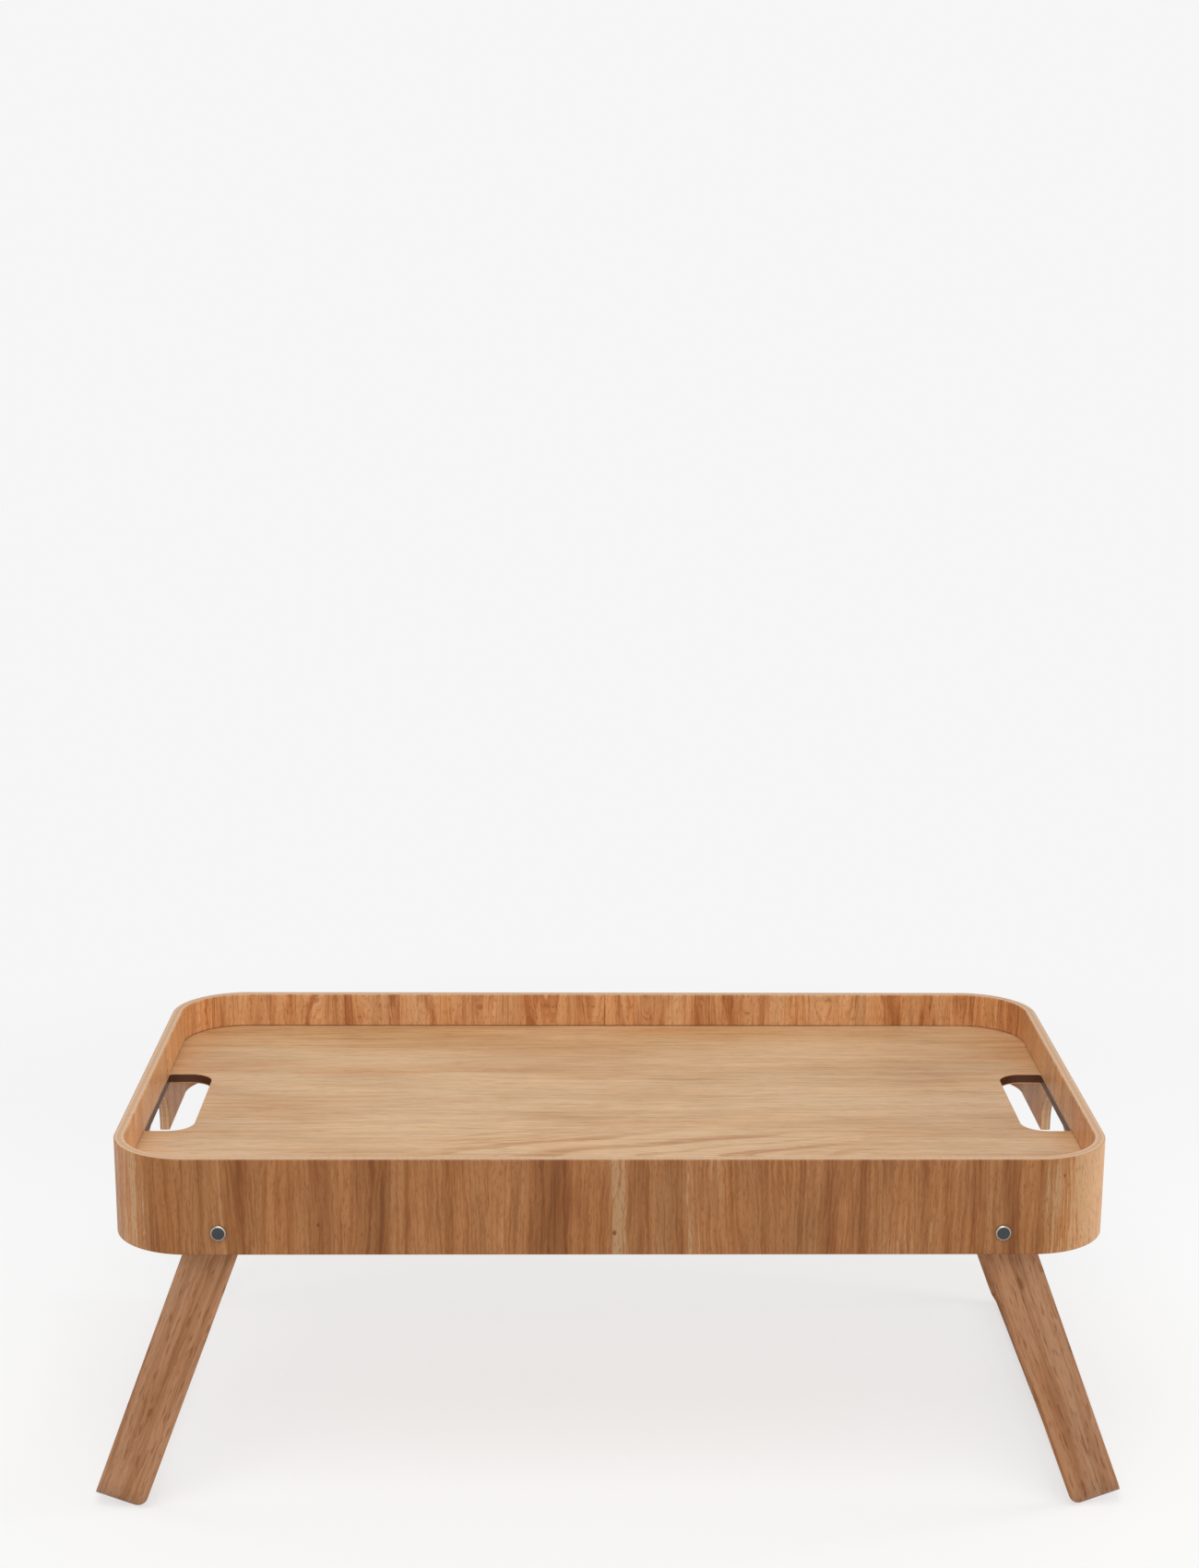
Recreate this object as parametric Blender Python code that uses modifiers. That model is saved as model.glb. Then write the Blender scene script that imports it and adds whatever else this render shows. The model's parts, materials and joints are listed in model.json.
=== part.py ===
"""Bed tray: a bent plywood rim round a recessed panel, on two folding U-shaped leg frames.

Metres, +Z up. The origin is on the floor under the middle of the tray. X runs along the
tray, and its front faces -Y. The frames stand open, as the tray is used.
"""

import math

import bmesh
import bpy

# Clearance left between pieces that touch or slide on one another
GAP = 0.0003
# How far a cutter runs past the face that it leaves by
OVERRUN = 0.005

# Tray body
TRAY_LENGTH = 0.600
TRAY_DEPTH = 0.350
CORNER_RADIUS = 0.048
RIM_THICKNESS = 0.0065
RIM_EDGE_EASE = 0.0007
SEAM_WIDTH = 0.0004

# Panel: how far it lies below the rim's top, and how far it goes into the rim's groove
WELL_DEPTH = 0.023
PANEL_THICKNESS = 0.0065
PANEL_SEAT = 0.003
PANEL_EDGE_EASE = 0.0004

# Hand hole in the panel, and the notch under it in the rim's short wall
HAND_HOLE_LENGTH = 0.116
HAND_HOLE_WIDTH = 0.030
HAND_HOLE_CORNER = 0.016
HAND_HOLE_WALL_CORNER = 0.0015
NOTCH_LENGTH = 0.100
NOTCH_CORNER = 0.025

# Leg frames: a strip bent to a U, measured across its face, through it and from the pivot
LEG_WIDTH = 0.031
LEG_THICKNESS = 0.008
LEG_REACH = 0.197
LEG_SPLAY = math.radians(20.6)
BEND_RADIUS = 0.018
FOOT_ROUND = 0.014
LEG_TOP_ROUND_SHARE = 1 / 3
LEG_EDGE_EASE = 0.0005
PIVOT_INSET = 0.067

# Folded frames lie under the panel with this room above them, this far proud of the rim
FOLD_ROOM = 0.0008
FOLD_PROUD = 0.0013

# Pivot post, a barrel nut whose head shows on the rim
POST_HEAD_RADIUS = 0.00475
POST_HEAD_HEIGHT = 0.0016
POST_HEAD_CHAMFER = 0.0008
POST_RADIUS = 0.003
POST_BORE_RADIUS = 0.0021

# Pivot screw, driven into the post from inside the frame
SCREW_RADIUS = 0.0018
SCREW_HEAD_RADIUS = 0.0045
SCREW_HEAD_HEIGHT = 0.0022
SCREW_BRIM_HEIGHT = 0.0007
SCREW_CROWN_RADIUS = 0.0024
SCREW_ENGAGEMENT = 0.010
SOCKET_WIDTH = 0.003
SOCKET_DEPTH = 0.0012

# Washers: one between rim and leg, one under the screw's head
SPACER_RADIUS = 0.0065
SPACER_THICKNESS = 0.001
WASHER_RADIUS = 0.006
WASHER_THICKNESS = 0.0008

# Facets along a quarter turn, and round a turned piece
CORNER_STEPS = 14
SMALL_CORNER_STEPS = 6
FOOT_STEPS = 8
DOME_STEPS = 2
SOCKET_SIDES = 6
TURNED_STEPS = 20
HOLE_STEPS = 24
WELD_DISTANCE = 0.00001
SMOOTH_ANGLE = math.radians(30)
EASE_ANGLE = math.radians(50)

# Worked out from the sizes above
RIM_HEIGHT = WELL_DEPTH + PANEL_THICKNESS + FOLD_ROOM + LEG_WIDTH - FOLD_PROUD
PIVOT_RISE = LEG_WIDTH / 2 - FOLD_PROUD
PIVOT_TO_PANEL = LEG_WIDTH / 2 + FOLD_ROOM
PIVOT_X = TRAY_LENGTH / 2 - PIVOT_INSET
PIVOT_HEIGHT = (
    (LEG_REACH - FOOT_ROUND) * math.cos(LEG_SPLAY)
    + (LEG_WIDTH / 2 - FOOT_ROUND) * math.sin(LEG_SPLAY)
    + FOOT_ROUND
)
RIM_BOTTOM = PIVOT_HEIGHT - PIVOT_RISE
PANEL_UNDERSIDE = PIVOT_HEIGHT + PIVOT_TO_PANEL
INNER_HALF_LENGTH = TRAY_LENGTH / 2 - RIM_THICKNESS
INNER_HALF_DEPTH = TRAY_DEPTH / 2 - RIM_THICKNESS
FRAME_HALF_WIDTH = INNER_HALF_DEPTH - SPACER_THICKNESS - 2 * GAP
PIVOT_HOLE_RADIUS = POST_RADIUS + GAP
LEG_TOP = (PIVOT_TO_PANEL - GAP - LEG_WIDTH / 2 * math.sin(LEG_SPLAY)) / math.cos(LEG_SPLAY)
# Heights of the pivot hardware from the rim's outer face, positive to the outside
SPACER_OUTSIDE = -(RIM_THICKNESS + GAP)
LEG_INSIDE = SPACER_OUTSIDE - SPACER_THICKNESS - GAP - LEG_THICKNESS
POST_FOOT = LEG_INSIDE - GAP
WASHER_OUTSIDE = POST_FOOT - GAP
SCREW_SEAT = WASHER_OUTSIDE - WASHER_THICKNESS - GAP


def clear_scene():
    """Remove whatever the file opened with."""
    for item in list(bpy.data.objects):
        bpy.data.objects.remove(item, do_unlink=True)


def new_collection(name):
    """Make a collection and show it in the scene."""
    collection = bpy.data.collections.new(name)
    bpy.context.scene.collection.children.link(collection)
    return collection


def make_material(name, colour, roughness, metallic=0.0):
    """A plain Principled material."""
    material = bpy.data.materials.new(name)
    material.use_nodes = True
    shader = material.node_tree.nodes["Principled BSDF"]
    shader.inputs["Base Color"].default_value = (*colour, 1.0)
    shader.inputs["Roughness"].default_value = roughness
    shader.inputs["Metallic"].default_value = metallic
    material.diffuse_color = (*colour, 1.0)
    return material


def arc(centre, radius, start, end, steps=CORNER_STEPS):
    """Points of an arc from one angle to another, in degrees."""
    points = []
    for step in range(steps + 1):
        angle = math.radians(start + (end - start) * step / steps)
        x = centre[0] + radius * math.cos(angle)
        y = centre[1] + radius * math.sin(angle)
        points.append((x, y))
    return points


def rounded_rectangle(low, high, radii, steps=CORNER_STEPS):
    """Anticlockwise outline with a radius for each corner, from the low-x, low-y one."""
    corners = ((low[0], low[1], 1, 1), (high[0], low[1], -1, 1))
    corners += ((high[0], high[1], -1, -1), (low[0], high[1], 1, -1))
    points = []
    for turn, (x, y, inward_x, inward_y) in enumerate(corners):
        radius = radii[turn]
        centre = (x + inward_x * radius, y + inward_y * radius)
        start = 180 + 90 * turn
        points += arc(centre, radius, start, start + 90, steps)
    return points


def add_spline(curve, points, cyclic=True):
    """Add one straight-segment spline to a curve."""
    spline = curve.splines.new("POLY")
    spline.points.add(len(points) - 1)
    for point, (x, y) in zip(spline.points, points):
        point.co = (x, y, 0, 1)
    spline.use_cyclic_u = cyclic


def curve_to_mesh(curve, name, collection):
    """Turn a curve object into a mesh object with its caps welded on."""
    graph = bpy.context.evaluated_depsgraph_get()
    mesh = bpy.data.meshes.new_from_object(curve.evaluated_get(graph))
    mesh.name = name
    work = bmesh.new()
    work.from_mesh(mesh)
    bmesh.ops.remove_doubles(work, verts=work.verts, dist=WELD_DISTANCE)
    bmesh.ops.recalc_face_normals(work, faces=work.faces)
    work.to_mesh(mesh)
    work.free()
    place = curve.matrix_world.copy()
    bpy.data.objects.remove(curve, do_unlink=True)
    result = bpy.data.objects.new(name, mesh)
    result.matrix_world = place
    collection.objects.link(result)
    return result


def flat_plate(name, outlines, thickness, collection):
    """A plate cut to flat outlines, its thickness centred on its own plane."""
    data = bpy.data.curves.new(name, "CURVE")
    data.dimensions = "2D"
    data.fill_mode = "BOTH"
    data.extrude = thickness / 2
    for outline in outlines:
        add_spline(data, outline)
    curve = bpy.data.objects.new(name, data)
    collection.objects.link(curve)
    bpy.context.view_layer.update()
    return curve_to_mesh(curve, name, collection)


def hide_as_cutter(item):
    """Mark an object as a cutting tool."""
    item.hide_render = True
    item.display_type = "WIRE"


def drill_cutter(name, radius, length, collection, sides=HOLE_STEPS):
    """A cylinder or prism along Y."""
    mesh = bpy.data.meshes.new(name)
    work = bmesh.new()
    bmesh.ops.create_cone(
        work, cap_ends=True, segments=sides, radius1=radius, radius2=radius, depth=length
    )
    work.to_mesh(mesh)
    work.free()
    item = bpy.data.objects.new(name, mesh)
    item.rotation_euler = (math.radians(90), 0, 0)
    collection.objects.link(item)
    hide_as_cutter(item)
    return item


def add_boolean(target, cutter, operation="DIFFERENCE"):
    """Cut or trim a piece by another."""
    modifier = target.modifiers.new(cutter.name, "BOOLEAN")
    modifier.operation = operation
    modifier.solver = "EXACT"
    modifier.object = cutter


def add_ease(target, width):
    """Take the sharpness off a piece's edges."""
    modifier = target.modifiers.new("eased_edges", "BEVEL")
    modifier.width = width
    modifier.segments = 1
    modifier.limit_method = "ANGLE"
    modifier.angle_limit = EASE_ANGLE


def finish(item, material):
    """Give a piece its material and smooth its round faces."""
    item.data.materials.clear()
    item.data.materials.append(material)
    item.data.shade_smooth()
    item.data.set_sharp_from_angle(angle=SMOOTH_ANGLE)


def turned_mesh(name, profile):
    """A mesh of one profile of (radius, height) points, to be turned about Z."""
    mesh = bpy.data.meshes.new(name)
    verts = [(radius, 0, height) for radius, height in profile]
    edges = [(index, index + 1) for index in range(len(profile) - 1)]
    if profile[0][0] > 0:
        edges.append((len(profile) - 1, 0))
    mesh.from_pydata(verts, edges, [])
    return mesh


def turned_piece(name, mesh, place, facing, material, collection):
    """Turn a profile about Z, then lay it along Y with its top to the outside."""
    item = bpy.data.objects.new(name, mesh)
    collection.objects.link(item)
    screw = item.modifiers.new("turned", "SCREW")
    screw.axis = "Z"
    screw.steps = TURNED_STEPS
    screw.render_steps = TURNED_STEPS
    screw.use_merge_vertices = True
    screw.merge_threshold = WELD_DISTANCE
    screw.use_smooth_shade = True
    item.location = place
    item.rotation_euler = (math.radians(90) * -facing, 0, 0)
    item.data.materials.clear()
    item.data.materials.append(material)
    return item


def rim_section():
    """The strip's cross-section: (outwards from its outer face, height above its bottom)."""
    ease = RIM_EDGE_EASE
    groove_low = PANEL_UNDERSIDE - GAP - RIM_BOTTOM
    groove_high = PANEL_UNDERSIDE + PANEL_THICKNESS + GAP - RIM_BOTTOM
    groove_floor = RIM_THICKNESS - PANEL_SEAT - GAP
    return [
        (-ease, 0),
        (0, ease),
        (0, RIM_HEIGHT - ease),
        (-ease, RIM_HEIGHT),
        (ease - RIM_THICKNESS, RIM_HEIGHT),
        (-RIM_THICKNESS, RIM_HEIGHT - ease),
        (-RIM_THICKNESS, groove_high),
        (-groove_floor, groove_high),
        (-groove_floor, groove_low),
        (-RIM_THICKNESS, groove_low),
        (-RIM_THICKNESS, ease),
        (ease - RIM_THICKNESS, 0),
    ]


def rim_path():
    """The outer face's line: from the joint at the back, round the tray and back to it."""
    half_length = TRAY_LENGTH / 2
    half_depth = TRAY_DEPTH / 2
    corner_x = half_length - CORNER_RADIUS
    corner_y = half_depth - CORNER_RADIUS
    points = [(-SEAM_WIDTH / 2, half_depth)]
    points += arc((-corner_x, corner_y), CORNER_RADIUS, 90, 180)
    points += arc((-corner_x, -corner_y), CORNER_RADIUS, 180, 270)
    points += arc((corner_x, -corner_y), CORNER_RADIUS, 270, 360)
    points += arc((corner_x, corner_y), CORNER_RADIUS, 0, 90)
    points.append((SEAM_WIDTH / 2, half_depth))
    return points


def make_rim(pieces, cutters, material):
    """Bend the grooved strip round the tray, then notch its short walls and drill it."""
    section_data = bpy.data.curves.new("rim_section", "CURVE")
    section_data.dimensions = "2D"
    add_spline(section_data, rim_section())
    section = bpy.data.objects.new("rim_section", section_data)
    cutters.objects.link(section)

    data = bpy.data.curves.new("rim_band", "CURVE")
    data.dimensions = "2D"
    data.fill_mode = "NONE"
    data.bevel_mode = "OBJECT"
    data.bevel_object = section
    data.use_fill_caps = True
    add_spline(data, rim_path(), cyclic=False)
    curve = bpy.data.objects.new("rim_band", data)
    curve.location = (0, 0, RIM_BOTTOM)
    pieces.objects.link(curve)
    bpy.context.view_layer.update()
    rim = curve_to_mesh(curve, "rim_band", pieces)
    bpy.data.objects.remove(section, do_unlink=True)

    for side, word in ((-1, "left"), (1, "right")):
        depth = RIM_THICKNESS + 2 * OVERRUN
        cutter = flat_plate(word + "_notch_cutter", [notch_outline()], depth, cutters)
        cutter.location = (side * (TRAY_LENGTH / 2 - RIM_THICKNESS / 2), 0, RIM_BOTTOM)
        cutter.rotation_euler = (math.radians(90), 0, math.radians(90))
        hide_as_cutter(cutter)
        add_boolean(rim, cutter)

        drill_length = TRAY_DEPTH + 2 * OVERRUN
        drill = drill_cutter(word + "_rim_drill", PIVOT_HOLE_RADIUS, drill_length, cutters)
        drill.location = (side * PIVOT_X, 0, PIVOT_HEIGHT)
        add_boolean(rim, drill)
    finish(rim, material)
    return rim


def notch_outline():
    """The notch as seen from the tray's end: (across, height above the rim's bottom)."""
    half = NOTCH_LENGTH / 2
    corner_y = half - NOTCH_CORNER
    corner_z = PANEL_UNDERSIDE - RIM_BOTTOM - NOTCH_CORNER
    points = [(-half, -OVERRUN), (half, -OVERRUN)]
    points += arc((corner_y, corner_z), NOTCH_CORNER, 0, 90, SMALL_CORNER_STEPS)
    points += arc((-corner_y, corner_z), NOTCH_CORNER, 90, 180, SMALL_CORNER_STEPS)
    return points


def hand_hole_outline(side):
    """D-shaped hole whose straight side lies in the plane of the short wall's inner face."""
    wall_x = INNER_HALF_LENGTH
    inner_x = INNER_HALF_LENGTH - HAND_HOLE_WIDTH
    half = HAND_HOLE_LENGTH / 2
    radii = (HAND_HOLE_CORNER, HAND_HOLE_WALL_CORNER, HAND_HOLE_WALL_CORNER, HAND_HOLE_CORNER)
    points = rounded_rectangle((inner_x, -half), (wall_x, half), radii, SMALL_CORNER_STEPS)
    return [(side * x, y) for x, y in points]


def make_panel(pieces, material):
    """The flat panel, held all round in the rim's groove."""
    half_length = INNER_HALF_LENGTH + PANEL_SEAT
    half_depth = INNER_HALF_DEPTH + PANEL_SEAT
    corner = CORNER_RADIUS - RIM_THICKNESS + PANEL_SEAT
    edge = rounded_rectangle((-half_length, -half_depth), (half_length, half_depth), [corner] * 4)
    outlines = [edge, hand_hole_outline(-1), hand_hole_outline(1)]
    panel = flat_plate("base_panel", outlines, PANEL_THICKNESS, pieces)
    panel.location = (0, 0, PANEL_UNDERSIDE + PANEL_THICKNESS / 2)
    add_ease(panel, PANEL_EDGE_EASE)
    finish(panel, material)
    return panel


def frame_bend_outline():
    """The U as seen along the tray: (across the tray, along the leg from the pivot)."""
    outer = FRAME_HALF_WIDTH
    inner = outer - LEG_THICKNESS
    bottom = -LEG_REACH
    top = LEG_TOP + OVERRUN
    inner_radius = BEND_RADIUS - LEG_THICKNESS
    bend_y = outer - BEND_RADIUS
    bend_z = bottom + BEND_RADIUS
    points = [(-outer, top)]
    points += arc((-bend_y, bend_z), BEND_RADIUS, 180, 270)
    points += arc((bend_y, bend_z), BEND_RADIUS, 270, 360)
    points += [(outer, top), (inner, top)]
    points += arc((bend_y, bend_z), inner_radius, 360, 270)
    points += arc((-bend_y, bend_z), inner_radius, 270, 180)
    points.append((-inner, top))
    return points


def frame_face_outline():
    """A leg as seen from the front: (towards the tray's middle, along the leg)."""
    half = LEG_WIDTH / 2
    top_round = LEG_WIDTH * LEG_TOP_ROUND_SHARE
    foot_centre = (half - FOOT_ROUND, FOOT_ROUND - LEG_REACH)
    top_centre = (half - top_round, LEG_TOP - top_round)
    lowest = 270 + math.degrees(LEG_SPLAY)
    points = [(-half, -LEG_REACH)]
    points += arc(foot_centre, FOOT_ROUND, 270, lowest, DOME_STEPS)
    points += arc(foot_centre, FOOT_ROUND, lowest, 360, FOOT_STEPS)[1:]
    points += arc(top_centre, top_round, 0, 90, SMALL_CORNER_STEPS)
    points.append((-half, LEG_TOP))
    return points


def make_frames(pieces, cutters, material):
    """One strip bent to a U, trimmed to the leg's outline and drilled, used twice."""
    width = LEG_WIDTH + 2 * OVERRUN
    strip = flat_plate("left_leg_frame", [frame_bend_outline()], width, pieces)
    strip.rotation_euler = (math.radians(90), 0, math.radians(90))
    face = flat_plate("leg_face_trim", [frame_face_outline()], TRAY_DEPTH, cutters)
    face.rotation_euler = (math.radians(90), 0, 0)
    drill = drill_cutter("leg_drill", PIVOT_HOLE_RADIUS, TRAY_DEPTH, cutters)
    hide_as_cutter(face)
    add_boolean(strip, face, "INTERSECT")
    add_boolean(strip, drill)
    add_ease(strip, LEG_EDGE_EASE)
    bpy.context.view_layer.update()
    graph = bpy.context.evaluated_depsgraph_get()
    mesh = bpy.data.meshes.new_from_object(strip.evaluated_get(graph))
    mesh.transform(strip.matrix_world)
    bpy.data.objects.remove(strip, do_unlink=True)

    for side, word, turn in ((-1, "left", 0), (1, "right", 180)):
        axis = bpy.data.objects.new(word + "_pivot_axis", None)
        axis.location = (side * PIVOT_X, 0, PIVOT_HEIGHT)
        axis.rotation_euler = (0, LEG_SPLAY, math.radians(turn))
        pieces.objects.link(axis)
        frame = bpy.data.objects.new(word + "_leg_frame", mesh)
        frame.parent = axis
        pieces.objects.link(frame)
        finish(frame, material)


def post_profile():
    """Barrel nut, from its head's face to the floor of its bore."""
    head_high = GAP + POST_HEAD_HEIGHT
    bore_floor = POST_FOOT + SCREW_ENGAGEMENT + GAP
    return [
        (0, head_high),
        (POST_HEAD_RADIUS - POST_HEAD_CHAMFER, head_high),
        (POST_HEAD_RADIUS, head_high - POST_HEAD_CHAMFER),
        (POST_HEAD_RADIUS, GAP),
        (POST_RADIUS, GAP),
        (POST_RADIUS, POST_FOOT),
        (POST_BORE_RADIUS, POST_FOOT),
        (POST_BORE_RADIUS, bore_floor),
        (0, bore_floor),
    ]


def washer_profile(high, thickness, inner, outer):
    """A flat ring, from its outside face inwards."""
    low = high - thickness
    return [(inner, high), (outer, high), (outer, low), (inner, low)]


def screw_profile():
    """Button-head screw, from its tip to the top of its head."""
    tip = SCREW_SEAT + WASHER_THICKNESS + GAP + SCREW_ENGAGEMENT
    dome_low = SCREW_SEAT - SCREW_BRIM_HEIGHT
    dome_width = SCREW_HEAD_RADIUS - SCREW_CROWN_RADIUS
    dome_rise = SCREW_HEAD_HEIGHT - SCREW_BRIM_HEIGHT
    points = [(0, tip), (SCREW_RADIUS, tip), (SCREW_RADIUS, SCREW_SEAT)]
    points.append((SCREW_HEAD_RADIUS, SCREW_SEAT))
    for across, up in arc((0, 0), 1, 0, 90, DOME_STEPS):
        points.append((SCREW_CROWN_RADIUS + dome_width * across, dome_low - dome_rise * up))
    points.append((0, SCREW_SEAT - SCREW_HEAD_HEIGHT))
    return points


def make_pivots(pieces, cutters, steel, dark_steel, nylon):
    """A post, screw, spacer and washer at each of the four pivots."""
    bore = POST_RADIUS + GAP
    screw_hole = SCREW_RADIUS + GAP
    spacer_ring = washer_profile(SPACER_OUTSIDE, SPACER_THICKNESS, bore, SPACER_RADIUS)
    washer_ring = washer_profile(WASHER_OUTSIDE, WASHER_THICKNESS, screw_hole, WASHER_RADIUS)
    kinds = (
        ("pivot_post", turned_mesh("pivot_post", post_profile()), steel),
        ("spacer_washer", turned_mesh("spacer_washer", spacer_ring), nylon),
        ("inner_washer", turned_mesh("inner_washer", washer_ring), steel),
        ("pivot_screw", turned_mesh("pivot_screw", screw_profile()), dark_steel),
    )
    for facing, depth_word in ((-1, "front"), (1, "rear")):
        for side, side_word in ((-1, "left"), (1, "right")):
            place = (side * PIVOT_X, facing * TRAY_DEPTH / 2, PIVOT_HEIGHT)
            for kind, mesh, material in kinds:
                name = "_".join((depth_word, side_word, kind))
                item = turned_piece(name, mesh, place, facing, material, pieces)
                if kind == "pivot_screw":
                    cut_socket(item, place, facing, cutters)


def cut_socket(screw, place, facing, cutters):
    """Sink a hexagon socket into a screw's head."""
    length = SOCKET_DEPTH + OVERRUN
    radius = SOCKET_WIDTH / 2 / math.cos(math.pi / SOCKET_SIDES)
    socket = drill_cutter(screw.name + "_socket", radius, length, cutters, SOCKET_SIDES)
    middle = SCREW_SEAT - SCREW_HEAD_HEIGHT + SOCKET_DEPTH - length / 2
    socket.location = (place[0], place[1] + facing * middle, place[2])
    add_boolean(screw, socket)


def main():
    """Build the tray."""
    clear_scene()
    pieces = new_collection("bed_tray")
    cutters = new_collection("cutters")
    rim_oak = make_material("rim_oak", (0.42, 0.21, 0.09), 0.5)
    panel_oak = make_material("panel_oak", (0.58, 0.35, 0.18), 0.5)
    leg_oak = make_material("leg_oak", (0.40, 0.20, 0.10), 0.5)
    steel = make_material("plated_steel", (0.60, 0.61, 0.63), 0.25, 1.0)
    dark_steel = make_material("screw_steel", (0.35, 0.35, 0.37), 0.35, 1.0)
    nylon = make_material("nylon", (0.80, 0.79, 0.75), 0.5)
    make_rim(pieces, cutters, rim_oak)
    make_panel(pieces, panel_oak)
    make_frames(pieces, cutters, leg_oak)
    make_pivots(pieces, cutters, steel, dark_steel, nylon)


main()
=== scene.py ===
"""Looks of the bed tray: oak-veneered bent plywood, plated pivots, a pale floor, soft light.

Metres, +Z up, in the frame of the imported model, with the front facing -Y.
"""

import json
import math

import bmesh
import bpy
from mathutils import Matrix, Vector


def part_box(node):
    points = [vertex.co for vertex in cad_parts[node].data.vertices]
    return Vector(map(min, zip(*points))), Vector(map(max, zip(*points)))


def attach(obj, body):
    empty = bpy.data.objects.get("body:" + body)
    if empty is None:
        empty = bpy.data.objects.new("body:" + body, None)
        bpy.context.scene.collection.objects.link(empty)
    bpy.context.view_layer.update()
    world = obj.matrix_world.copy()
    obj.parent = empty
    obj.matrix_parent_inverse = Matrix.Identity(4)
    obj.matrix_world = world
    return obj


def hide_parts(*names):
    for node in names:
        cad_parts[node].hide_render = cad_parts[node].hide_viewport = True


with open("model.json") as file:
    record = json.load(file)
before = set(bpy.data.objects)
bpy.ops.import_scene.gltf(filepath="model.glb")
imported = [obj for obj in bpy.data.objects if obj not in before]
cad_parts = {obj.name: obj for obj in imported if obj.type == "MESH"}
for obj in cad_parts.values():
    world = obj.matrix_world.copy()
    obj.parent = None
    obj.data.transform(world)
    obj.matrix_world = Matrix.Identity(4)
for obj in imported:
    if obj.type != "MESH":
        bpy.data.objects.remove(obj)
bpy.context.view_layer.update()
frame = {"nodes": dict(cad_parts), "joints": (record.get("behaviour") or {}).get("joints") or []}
RIM_LOW, RIM_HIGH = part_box("rim_band")
PANEL_LOW, PANEL_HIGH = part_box("base_panel")
FRAME_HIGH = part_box("left_leg_frame")[1]
POST_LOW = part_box("rear_right_pivot_post")[0]
PIVOTS = {joint["child"]: Vector(joint["pos_m"]) for joint in frame["joints"]}

MM = 0.001

# Rim and panel
RIM_THICKNESS = 6.5 * MM
RIM_EDGE_RADIUS = 0.8 * MM
CORNER_RADIUS = 48 * MM
SEAM_WIDTH = 0.05 * MM
PANEL_SEAT = 3 * MM
CLEARANCE = 0.3 * MM
GROOVE_GAP = 0.5 * MM
HAND_HOLE_LENGTH = 116 * MM
HAND_HOLE_WIDTH = 30 * MM
HAND_HOLE_CORNER = 16 * MM
HAND_HOLE_WALL_CORNER = 1.5 * MM
PANEL_EDGE_RADIUS = 0.5 * MM
NOTCH_LENGTH = 100 * MM
NOTCH_CORNER = 25 * MM
NOTCH_EDGE_RADIUS = 0.5 * MM

# Leg frames
LEG_WIDTH = 31 * MM
LEG_THICKNESS = 8 * MM
LEG_REACH = 197 * MM
LEG_SPLAY = math.radians(20.6)
BEND_RADIUS = 18 * MM
FOOT_ROUND = 14 * MM
LEG_TOP_ROUND = LEG_WIDTH / 3
LEG_EDGE_RADIUS = 0.7 * MM
PIVOT_HOLE_RADIUS = 3.3 * MM

# Pivot post
HEAD_RADIUS = 4.75 * MM
HEAD_HEIGHT = 1.6 * MM
HEAD_CHAMFER = 0.9 * MM
POST_RADIUS = 3 * MM

# How far cutters run over, how near points are welded or dropped, how many steps a bend, a small
# edge and a full round have, and above which angles edges are shaded sharp or bevelled
OVERRUN = 5 * MM
WELD_DISTANCE = 0.01 * MM
SLIVER = 0.0002 * MM
CORNER_STEPS = 32
EDGE_STEPS = 4
ROUND_STEPS = 48
SHARP_ANGLE = math.radians(38)
BEVEL_ANGLE = math.radians(50)

# Worked out from the frame
HALF_LENGTH = RIM_HIGH.x
HALF_DEPTH = RIM_HIGH.y
RIM_BOTTOM = RIM_LOW.z
RIM_TOP = RIM_HIGH.z
RIM_HEIGHT = RIM_TOP - RIM_BOTTOM
CORNER_X = HALF_LENGTH - CORNER_RADIUS
CORNER_Y = HALF_DEPTH - CORNER_RADIUS
INNER_HALF_LENGTH = HALF_LENGTH - RIM_THICKNESS
FRAME_HALF_WIDTH = FRAME_HIGH.y
PIVOT = PIVOTS["right_frame"]
PIVOT_TO_STOP = PANEL_LOW.z - PIVOT.z - CLEARANCE
LEG_TOP = (PIVOT_TO_STOP - LEG_WIDTH / 2 * math.sin(LEG_SPLAY)) / math.cos(LEG_SPLAY)
QUARTER_TURN = math.pi / 2
HALF_ROUND = CORNER_X * 2 + CORNER_Y * 2 + CORNER_RADIUS * math.pi


def arc(centre, radius, start, end, steps=CORNER_STEPS):
    """Points of an arc from one angle to another, in degrees."""
    points = []
    for step in range(steps + 1):
        angle = math.radians(start + (end - start) * step / steps)
        points.append((centre[0] + radius * math.cos(angle), centre[1] + radius * math.sin(angle)))
    return points


def new_piece(name, work):
    """Turn a mesh under construction into an object of the scene."""
    mesh = bpy.data.meshes.new(name)
    work.to_mesh(mesh)
    work.free()
    piece = bpy.data.objects.new(name, mesh)
    bpy.context.scene.collection.objects.link(piece)
    return piece


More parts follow.
